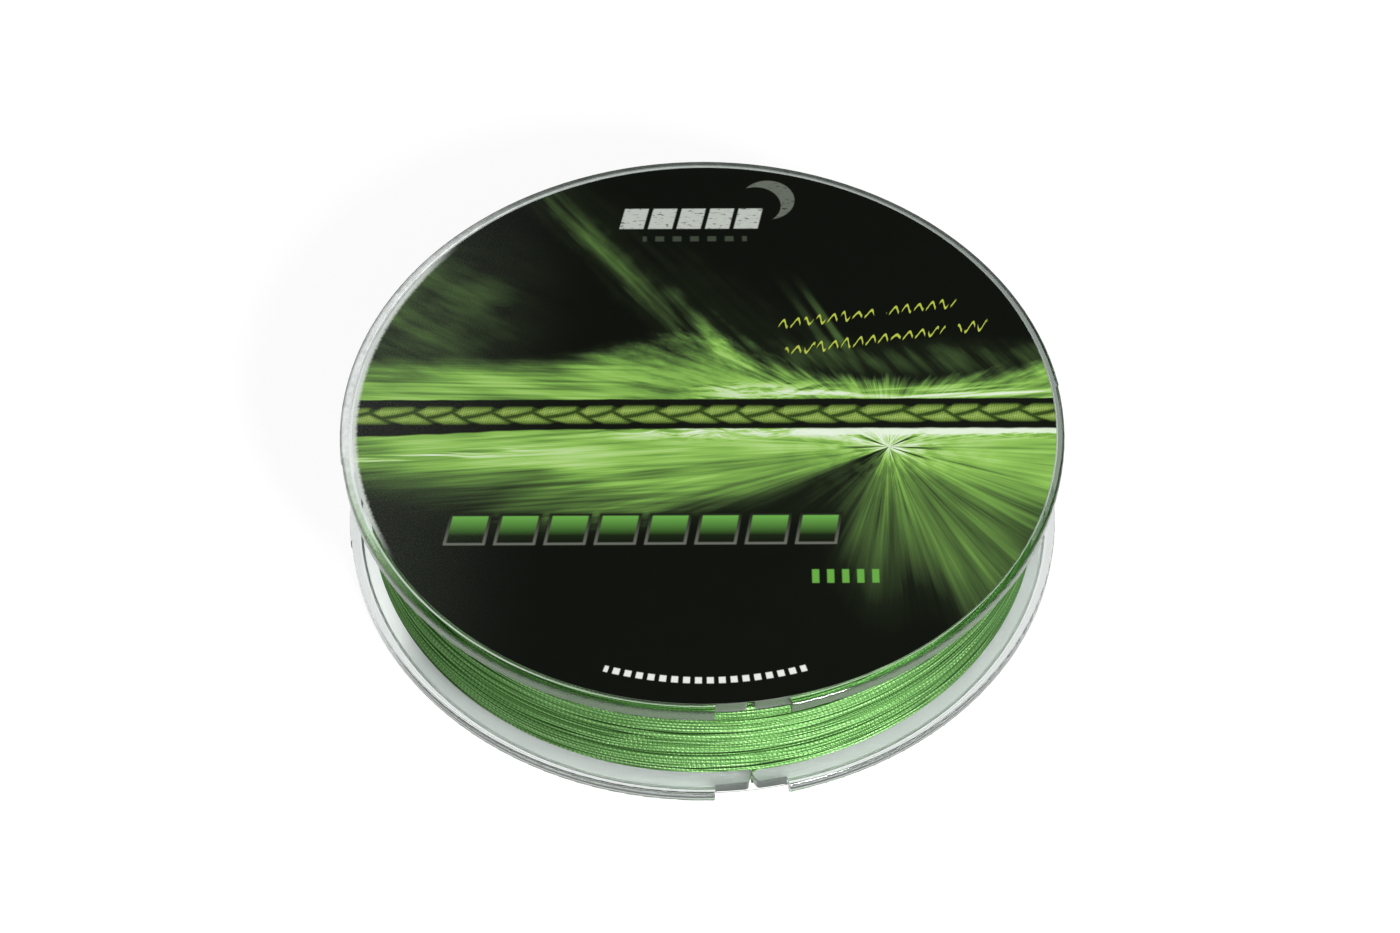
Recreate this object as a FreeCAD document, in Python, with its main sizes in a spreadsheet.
"""Clear flanged spool of braided fishing line, 100 mm across, lying flat.

Two moulded halves press together at the hub. Each half is a thin flange with a raised rim ring
around a shallow label recess. At the front (-Y) the ring is left out over a short gap, and the web
behind it is split by a slit that grips the end of the line. Millimetres, +Z up, origin at the
middle of the underside.
"""
import FreeCAD, Part

import math
import os

import Sketcher

Vector = FreeCAD.Vector

DIMENSIONS = [
    # alias, millimetres or degrees, meaning
    ("flange_radius", 50.0, "rear half of each rim"),
    ("rim_step", 0.12, "how much smaller the front half of each rim is"),
    ("flange_thickness", 1.95, "rim ring, outer face to inner face"),
    ("spool_width", 20.2, "outer face to outer face"),
    ("rim_round", 0.45, "rounding of the rim's outer edges"),
    ("recess_radius", 48.85, "label recess in the outer face"),
    ("recess_depth", 0.25, "label recess in the outer face"),
    ("tab_radius", 48.4, "edge of the web inside the rim gap"),
    ("gap_half_width", 4.95, "rim gap, centre line to side"),
    ("gap_reach", 52.0, "how far out the rim gap is cut"),
    ("gap_outer_round", 0.55, "rounded ends of the rim ring"),
    ("gap_inner_round", 0.35, "corner between ring end and tab"),
    ("slit_half_width", 0.15, "parallel part of the slit"),
    ("slit_shift", 0.2, "slit off the middle of the rim gap, towards +X on the lower half"),
    ("slit_inner_end", 44.9, "distance of the slit's closed end from the axis"),
    ("slit_flare_start", 47.1, "where the slit starts to widen"),
    ("slit_mouth_half_width", 0.66, "widened slit, beyond the tab's edge"),
    ("slit_mouth_end", 48.6, "widened slit, beyond the tab's edge"),
    ("slit_mouth_round", 0.6, "rounded tab corners at the slit"),
    ("hub_radius", 44.5, "wall that carries the line"),
    ("hub_wall", 1.5, "thickness of the outer hub wall"),
    ("sleeve_wall", 1.4, "thickness of the sleeve inside the hub wall"),
    ("sleeve_length", 7.5, "how far the sleeve reaches into the hub wall"),
    ("bore_radius", 5.25, "arbor bore on the axis"),
    ("plug_radius", 7.0, "tube of the upper half around the bore"),
    ("plug_length", 10.0, "tube of the upper half around the bore"),
    ("socket_wall", 1.6, "tube of the lower half around the plug"),
    ("socket_length", 9.8, "tube of the lower half around the plug"),
    ("rib_thickness", 1.2, "stiffening ribs"),
    ("rib_length", 5.0, "how far the ribs stand off the flange"),
    ("rib_start", 6.6, "radius at which the ribs of the upper half start, inside the plug's wall"),
    ("label_radius", 48.5, "printed discs"),
    ("label_thickness", 0.12, "printed discs"),
    ("glue_thickness", 0.02, "between each disc and its recess"),
    ("label_shift", 0.25, "how far off centre the upper disc is stuck, towards +X"),
    ("label_shift_back", 0.1, "how far off centre the upper disc is stuck, towards +Y"),
    ("line_diameter", 0.28, "braided line"),
    ("winding_inner_radius", 44.6, "clears the tape on the hub"),
    ("winding_radius", 46.8, "outer turns"),
    ("winding_clearance", 0.02, "between the turns and each flange"),
    ("winding_round", 0.4, "rounding of the winding's outer corners"),
    ("tag_offset", 0.15, "parked line end, beside the winding"),
    ("tag_top", 0.9, "parked line end, height of its top above the flange"),
    ("tag_floor", 0.75, "height of the parked end's last stretch above the underside"),
    ("tag_bend", 0.5, "bend radius of the parked line end"),
    ("tag_reach", 0.62, "length of the parked end's last stretch"),
    ("tape_width", 12.0, "adhesive tape on the hub"),
    ("tape_thickness", 0.06, "adhesive tape on the hub"),
    ("tape_angle", 38.0, "degrees of the hub that the tape covers"),
]
RIB_COUNT = 6

doc = FreeCAD.newDocument("fishing_line_spool")
sizes = doc.addObject("Spreadsheet::Sheet", "sizes")
for row, (alias, value, meaning) in enumerate(DIMENSIONS, start=1):
    sizes.set(f"A{row}", meaning)
    sizes.set(f"B{row}", str(value))
    sizes.setAlias(f"B{row}", alias)
doc.recompute()


def value_of(expression):
    """Number that a sheet expression stands for, used as a sketch's starting geometry."""
    return float(sizes.evalExpression(expression))


def bound(expression):
    """Write each alias in an expression as a reference to the sheet."""
    for alias, _, _ in sorted(DIMENSIONS, key=lambda entry: -len(entry[0])):
        expression = expression.replace(alias, "<" + alias + ">")
    while "<<" in expression:
        expression = expression.replace("<<", "<").replace(">>", ">")
    return expression.replace("<", "sizes.").replace(">", "")


def new_body(label):
    body = doc.addObject("PartDesign::Body", label)
    body.Label = label
    return body


def new_sketch(body, name, role="XY_Plane", height=None):
    """Sketch on one of the body's own origin planes, lifted along the plane's normal."""
    plane = next(item for item in body.Origin.OriginFeatures if item.Role == role)
    sketch = body.newObject("Sketcher::SketchObject", name)
    sketch.AttachmentSupport = [(plane, "")]
    sketch.MapMode = "FlatFace"
    if height:
        sketch.setExpression("AttachmentOffset.Base.z", bound(height))
    return sketch


def constrain(sketch, kind, *where, expression):
    index = sketch.addConstraint(Sketcher.Constraint(kind, *where, value_of(expression)))
    sketch.setExpression(f"Constraints[{index}]", bound(expression))


def place_point(sketch, edge, end, across, up):
    """Fix an edge's end point at a distance from the sketch origin along both axes."""
    constrain(sketch, "DistanceX", -1, 1, edge, end, expression=across)
    constrain(sketch, "DistanceY", -1, 1, edge, end, expression=up)


def draw_circle(sketch, radius):
    circle = Part.Circle(Vector(0, 0, 0), Vector(0, 0, 1), value_of(radius))
    edge = sketch.addGeometry(circle, False)
    sketch.addConstraint(Sketcher.Constraint("Coincident", edge, 3, -1, 1))
    constrain(sketch, "Radius", edge, expression=radius)


def draw_polygon(sketch, corners):
    """Closed outline of straight edges through corners given as sheet expressions."""
    points = [Vector(value_of(across), value_of(up), 0) for across, up in corners]
    edges = []
    for start, end in zip(points, points[1:] + points[:1]):
        edges.append(sketch.addGeometry(Part.LineSegment(start, end), False))
    for edge, following in zip(edges, edges[1:] + edges[:1]):
        sketch.addConstraint(Sketcher.Constraint("Coincident", edge, 2, following, 1))
    for edge, (across, up) in zip(edges, corners):
        place_point(sketch, edge, 1, across, up)


def draw_half_disc(sketch, radius):
    """Half disc on the +Y side of the X axis."""
    reach = value_of(radius)
    circle = Part.Circle(Vector(0, 0, 0), Vector(0, 0, 1), reach)
    arc = sketch.addGeometry(Part.ArcOfCircle(circle, 0, math.pi), False)
    line = sketch.addGeometry(Part.LineSegment(Vector(-reach, 0, 0), Vector(reach, 0, 0)), False)
    sketch.addConstraint(Sketcher.Constraint("Coincident", arc, 3, -1, 1))
    sketch.addConstraint(Sketcher.Constraint("Coincident", arc, 2, line, 1))
    sketch.addConstraint(Sketcher.Constraint("Coincident", arc, 1, line, 2))
    sketch.addConstraint(Sketcher.Constraint("PointOnObject", arc, 1, -1))
    sketch.addConstraint(Sketcher.Constraint("PointOnObject", arc, 2, -1))
    constrain(sketch, "Radius", arc, expression=radius)


def draw_rim_gap(sketch):
    """Opening across the rim at -Y: the tab's arc inside, straight sides, open beyond the rim."""
    radius = value_of("tab_radius")
    half_width = value_of("gap_half_width")
    round_size = value_of("gap_outer_round")
    turn = math.asin(half_width / radius)
    wide = "(gap_half_width + gap_outer_round)"
    rim = f"sqrt((flange_radius - rim_step) ^ 2 - {wide} ^ 2)"
    side_end = f"(gap_outer_round - {rim})"

    def arc_about(across, up, size, start, end):
        circle = Part.Circle(Vector(across, up, 0), Vector(0, 0, 1), size)
        return sketch.addGeometry(Part.ArcOfCircle(circle, start, end), False)

    def line_between(start, end):
        return sketch.addGeometry(Part.LineSegment(Vector(*start, 0), Vector(*end, 0)), False)

    quarter = math.pi / 2
    tab = arc_about(0, 0, radius, -quarter - turn, -quarter + turn)
    inner, outer = -radius * math.cos(turn), value_of("-gap_reach")
    level, rim_level = value_of(side_end), value_of("-" + rim)
    reach = value_of(wide)
    right_side = line_between((half_width, inner), (half_width, level))
    right_corner = arc_about(reach, level, round_size, math.pi, 3 * quarter)
    right_outer = line_between((reach, rim_level), (reach, outer))
    far = line_between((reach, outer), (-reach, outer))
    left_outer = line_between((-reach, outer), (-reach, rim_level))
    left_corner = arc_about(-reach, level, round_size, -quarter, 0)
    left_side = line_between((-half_width, level), (-half_width, inner))
    chain = [tab, right_side, right_corner, right_outer, far, left_outer, left_corner, left_side]
    for edge, following in zip(chain, chain[1:] + chain[:1]):
        sketch.addConstraint(Sketcher.Constraint("Coincident", edge, 2, following, 1))
    sketch.addConstraint(Sketcher.Constraint("Coincident", tab, 3, -1, 1))
    constrain(sketch, "Radius", tab, expression="tab_radius")
    constrain(sketch, "DistanceX", -1, 1, tab, 1, expression="-gap_half_width")
    constrain(sketch, "DistanceX", -1, 1, tab, 2, expression="gap_half_width")
    place_point(sketch, right_corner, 1, "gap_half_width", side_end)
    place_point(sketch, right_corner, 2, wide, "-" + rim)
    place_point(sketch, left_corner, 2, "-gap_half_width", side_end)
    place_point(sketch, left_corner, 1, "-" + wide, "-" + rim)
    for corner in (right_corner, left_corner):
        constrain(sketch, "Radius", corner, expression="gap_outer_round")
    place_point(sketch, far, 1, wide, "-gap_reach")
    place_point(sketch, far, 2, "-" + wide, "-gap_reach")


def pad(body, name, sketch, length):
    feature = body.newObject("PartDesign::Pad", name)
    feature.Profile = sketch
    feature.setExpression("Length", bound(length))
    body.Tip = feature
    return feature


def pocket(body, name, sketch, length=None):
    """Cut along +Z, by a length or right through. Stops if nothing is removed."""
    doc.recompute()
    before = body.Shape.Volume
    feature = body.newObject("PartDesign::Pocket", name)
    feature.Profile = sketch
    feature.Reversed = True
    if length:
        feature.setExpression("Length", bound(length))
    else:
        feature.Type = "ThroughAll"
    body.Tip = feature
    doc.recompute()
    if body.Shape.Volume > before - 1e-3:
        raise RuntimeError(f"{name} removed nothing from {body.Label}")
    return feature


def edge_names(shape, wanted):
    """Names of a shape's edges that pass a test, as a fillet takes them."""
    return [f"Edge{number}" for number, edge in enumerate(shape.Edges, start=1) if wanted(edge)]


def fillet(body, name, radius, wanted):
    """Round every edge of the body that passes a test."""
    doc.recompute()
    base = body.Tip
    edges = edge_names(base.Shape, wanted)
    if not edges:
        raise RuntimeError(f"{name} finds no edge on {body.Label}")
    feature = body.newObject("PartDesign::Fillet", name)
    feature.Base = (base, edges)
    feature.setExpression("Radius", bound(radius))
    body.Tip = feature
    doc.recompute()
    return feature


def upright_edge_at(across, reach, middle=0.0):
    """Test for the edges parallel to Z at +-across from a middle and a distance from the axis."""
    def wanted(edge):
        low, high = edge.Vertexes[0].Point, edge.Vertexes[-1].Point
        upright = abs(low.x - high.x) < 1e-6 and abs(low.y - high.y) < 1e-6 and low.z != high.z
        place = math.hypot(low.x, low.y)
        off_middle = abs(abs(low.x - middle) - across)
        return upright and low.y < 0 and off_middle < 0.05 and abs(place - reach) < 0.08
    return wanted


def level_circle_of(radius):
    """Test for the edges that are level circles, or arcs of them, of a radius."""
    def wanted(edge):
        curve = edge.Curve
        return (isinstance(curve, Part.Circle) and abs(curve.Axis.z) > 0.99
                and abs(curve.Radius - value_of(radius)) < 0.01)
    return wanted


def build_flange(body):
    """Flange with its outer face at z = 0 and the inside of the spool towards +Z."""
    front_disc = new_sketch(body, "front_disc_outline")
    draw_circle(front_disc, "flange_radius - rim_step")
    pad(body, "front_disc", front_disc, "flange_thickness")
    fillet(body, "front_rim_edges", "rim_round", level_circle_of("flange_radius - rim_step"))

    rear_disc = new_sketch(body, "rear_disc_outline")
    draw_half_disc(rear_disc, "flange_radius")
    pad(body, "rear_disc", rear_disc, "flange_thickness")
    fillet(body, "rear_rim_edges", "rim_round", level_circle_of("flange_radius"))

    gap = new_sketch(body, "rim_gap_outline")
    draw_rim_gap(gap)
    pocket(body, "rim_gap", gap)

    slit = new_sketch(body, "line_slit_outline")
    draw_polygon(slit, [("slit_shift + slit_half_width", "-slit_inner_end"),
                        ("slit_shift + slit_half_width", "-slit_flare_start"),
                        ("slit_shift + slit_mouth_half_width", "-slit_mouth_end"),
                        ("slit_shift - slit_mouth_half_width", "-slit_mouth_end"),
                        ("slit_shift - slit_half_width", "-slit_flare_start"),
                        ("slit_shift - slit_half_width", "-slit_inner_end")])
    pocket(body, "line_slit", slit)

    half_width = value_of("gap_half_width")
    fillet(body, "tab_corners", "gap_inner_round", upright_edge_at(half_width, value_of("tab_radius")))
    flare = (value_of("tab_radius - slit_flare_start") / value_of("slit_mouth_end - slit_flare_start")
             * value_of("slit_mouth_half_width - slit_half_width") + value_of("slit_half_width"))
    fillet(body, "slit_mouth", "slit_mouth_round",
           upright_edge_at(flare, value_of("tab_radius"), value_of("slit_shift")))

    recess = new_sketch(body, "label_recess_outline")
    draw_circle(recess, "recess_radius")
    pocket(body, "label_recess", recess, "recess_depth")

    bore = new_sketch(body, "arbor_bore_outline")
    draw_circle(bore, "bore_radius")
    pocket(body, "arbor_bore", bore)


def build_tube(body, name, outer, inner, length):
    """Round wall that stands on the flange's inner face."""
    outline = new_sketch(body, name + "_outline", height="flange_thickness")
    draw_circle(outline, outer)
    draw_circle(outline, inner)
    pad(body, name, outline, length)


def build_ribs(body, start, end):
    """Radial ribs between the tube around the bore and the hub wall."""
    outline = new_sketch(body, "rib_outline", height="flange_thickness")
    draw_polygon(outline, [(start, "-rib_thickness / 2"), (end, "-rib_thickness / 2"),
                           (end, "rib_thickness / 2"), (start, "rib_thickness / 2")])
    rib = pad(body, "rib", outline, "rib_length")
    ribs = body.newObject("PartDesign::PolarPattern", "ribs")
    ribs.Originals = [rib]
    ribs.Axis = (outline, ["N_Axis"])
    ribs.Angle = 360
    ribs.Occurrences = RIB_COUNT
    body.Tip = ribs
    doc.recompute()


def build_lower_half():
    """Lower flange with the outer hub wall, and the socket around the arbor bore."""
    body = new_body("lower_half")
    build_flange(body)
    build_tube(body, "hub_wall", "hub_radius", "hub_radius - hub_wall",
               "spool_width - 2 * flange_thickness")
    build_tube(body, "socket", "plug_radius + socket_wall", "plug_radius", "socket_length")
    build_ribs(body, "plug_radius + socket_wall / 2", "hub_radius - hub_wall / 2")


def build_upper_half():
    """Upper flange, turned over, with the sleeve and plug that press into the lower half."""
    body = new_body("upper_half")
    build_flange(body)
    build_tube(body, "sleeve", "hub_radius - hub_wall", "hub_radius - hub_wall - sleeve_wall",
               "sleeve_length")
    build_tube(body, "plug", "plug_radius", "bore_radius", "plug_length")
    build_ribs(body, "rib_start", "hub_radius - hub_wall - sleeve_wall / 2")
    body.Placement = FreeCAD.Placement(Vector(0, 0, 0), FreeCAD.Rotation(Vector(0, 1, 0), 180))
    body.setExpression("Placement.Base.z", bound("spool_width"))


def build_label(label, height, shift=None, shift_back=None):
    """Printed disc, lying in a flange's recess."""
    body = new_body(label)
    outline = new_sketch(body, label + "_outline")
    draw_circle(outline, "label_radius")
    pad(body, label + "_disc", outline, "label_thickness")
    body.setExpression("Placement.Base.z", bound(height))
    if shift:
        body.setExpression("Placement.Base.x", bound(shift))
        body.setExpression("Placement.Base.y", bound(shift_back))


def revolve(body, name, sketch, angle=None):
    feature = body.newObject("PartDesign::Revolution", name)
    feature.Profile = sketch
    feature.ReferenceAxis = (sketch, ["V_Axis"])
    if angle:
        feature.setExpression("Angle", bound(angle))
        feature.Midplane = True
    else:
        feature.Angle = 360
    body.Tip = feature
    doc.recompute()


def build_line_winding():
    """All the turns of line as one ring between the flanges."""
    body = new_body("line_winding")
    section = new_sketch(body, "winding_section", role="XZ_Plane")
    bottom = "flange_thickness + winding_clearance"
    top = "spool_width - flange_thickness - winding_clearance"
    draw_polygon(section, [("winding_inner_radius", bottom), ("winding_radius", bottom),
                           ("winding_radius", top), ("winding_inner_radius", top)])
    revolve(body, "turns", section)
    outer = value_of("winding_radius")
    fillet(body, "shoulders", "winding_round",
           lambda edge: isinstance(edge.Curve, Part.Circle) and abs(edge.Curve.Radius - outer) < 1e-3)


def build_hub_tape():
    """Strip of tape on the hub, centred on the rear, that holds the first turn."""
    body = new_body("hub_tape")
    section = new_sketch(body, "tape_section", role="XZ_Plane")
    low = "(spool_width - tape_width) / 2"
    high = "(spool_width + tape_width) / 2"
    outer = "hub_radius + tape_thickness"
    draw_polygon(section, [("hub_radius", low), (outer, low), (outer, high), ("hub_radius", high)])
    revolve(body, "tape", section, angle="tape_angle")
    turn = FreeCAD.Rotation(Vector(0, 0, 1), 90)
    body.Placement = FreeCAD.Placement(Vector(0, 0, 0), turn)


def build_line_tag_end():
    """End of the line, led down beside the winding into the lower slit and out towards -Y."""
    body = new_body("line_tag_end")
    route = new_sketch(body, "tag_route", role="YZ_Plane")
    beside = "-(winding_radius + tag_offset)"
    radius = value_of("tag_bend")
    start = Vector(value_of(beside), value_of("flange_thickness + tag_top"), 0)
    bend_top = Vector(start.x, value_of("tag_floor + tag_bend"), 0)
    centre = Vector(start.x - radius, bend_top.y, 0)
    bend_end = Vector(centre.x, value_of("tag_floor"), 0)
    tip = Vector(bend_end.x - value_of("tag_reach"), bend_end.y, 0)
    drop = route.addGeometry(Part.LineSegment(start, bend_top), False)
    circle = Part.Circle(centre, Vector(0, 0, 1), radius)
    bend = route.addGeometry(Part.ArcOfCircle(circle, -math.pi / 2, 0), False)
    last = route.addGeometry(Part.LineSegment(bend_end, tip), False)
    route.addConstraint(Sketcher.Constraint("Vertical", drop))
    route.addConstraint(Sketcher.Constraint("Horizontal", last))
    route.addConstraint(Sketcher.Constraint("Tangent", drop, 2, bend, 2))
    route.addConstraint(Sketcher.Constraint("Tangent", bend, 1, last, 1))
    place_point(route, drop, 1, beside, "flange_thickness + tag_top")
    constrain(route, "Radius", bend, expression="tag_bend")
    constrain(route, "DistanceY", -1, 1, last, 2, expression="tag_floor")
    constrain(route, "DistanceX", last, 2, last, 1, expression="tag_reach")

    section = new_sketch(body, "tag_section", height="flange_thickness + tag_top")
    edge = section.addGeometry(Part.Circle(Vector(0, start.x, 0), Vector(0, 0, 1),
                                           value_of("line_diameter / 2")), False)
    constrain(section, "Radius", edge, expression="line_diameter / 2")
    section.addConstraint(Sketcher.Constraint("PointOnObject", edge, 3, -2))
    constrain(section, "DistanceY", -1, 1, edge, 3, expression=beside)
    doc.recompute()
    pipe = body.newObject("PartDesign::AdditivePipe", "tag")
    pipe.Profile = section
    pipe.Spine = (route, [])
    body.Tip = pipe
    body.setExpression("Placement.Base.x", bound("slit_shift"))
    doc.recompute()


build_lower_half()
build_upper_half()
build_label("bottom_label", "recess_depth - glue_thickness - label_thickness")
build_label("top_label", "spool_width - recess_depth + glue_thickness", "label_shift", "label_shift_back")
build_line_winding()
build_line_tag_end()
build_hub_tape()
doc.recompute()

for item in doc.Objects:
    if "Invalid" in item.State or "Error" in item.State:
        raise RuntimeError(f"{item.Name} failed: {item.State}")

bodies = [item for item in doc.Objects if item.TypeId == "PartDesign::Body"]
for body in bodies:
    if body.Shape.isNull() or not body.Shape.isValid() or len(body.Shape.Solids) != 1:
        raise RuntimeError(f"{body.Label} is not one valid solid")

os.makedirs("parts", exist_ok=True)
for body in bodies:
    body.Shape.exportStep(os.path.join("parts", body.Label + ".step"))
    box = body.Shape.optimalBoundingBox(False)
    print(f"{body.Label:14s} {body.Shape.Volume:10.1f} mm3  "
          f"x {box.XMin:7.2f} {box.XMax:7.2f}  y {box.YMin:7.2f} {box.YMax:7.2f}  "
          f"z {box.ZMin:6.2f} {box.ZMax:6.2f}")
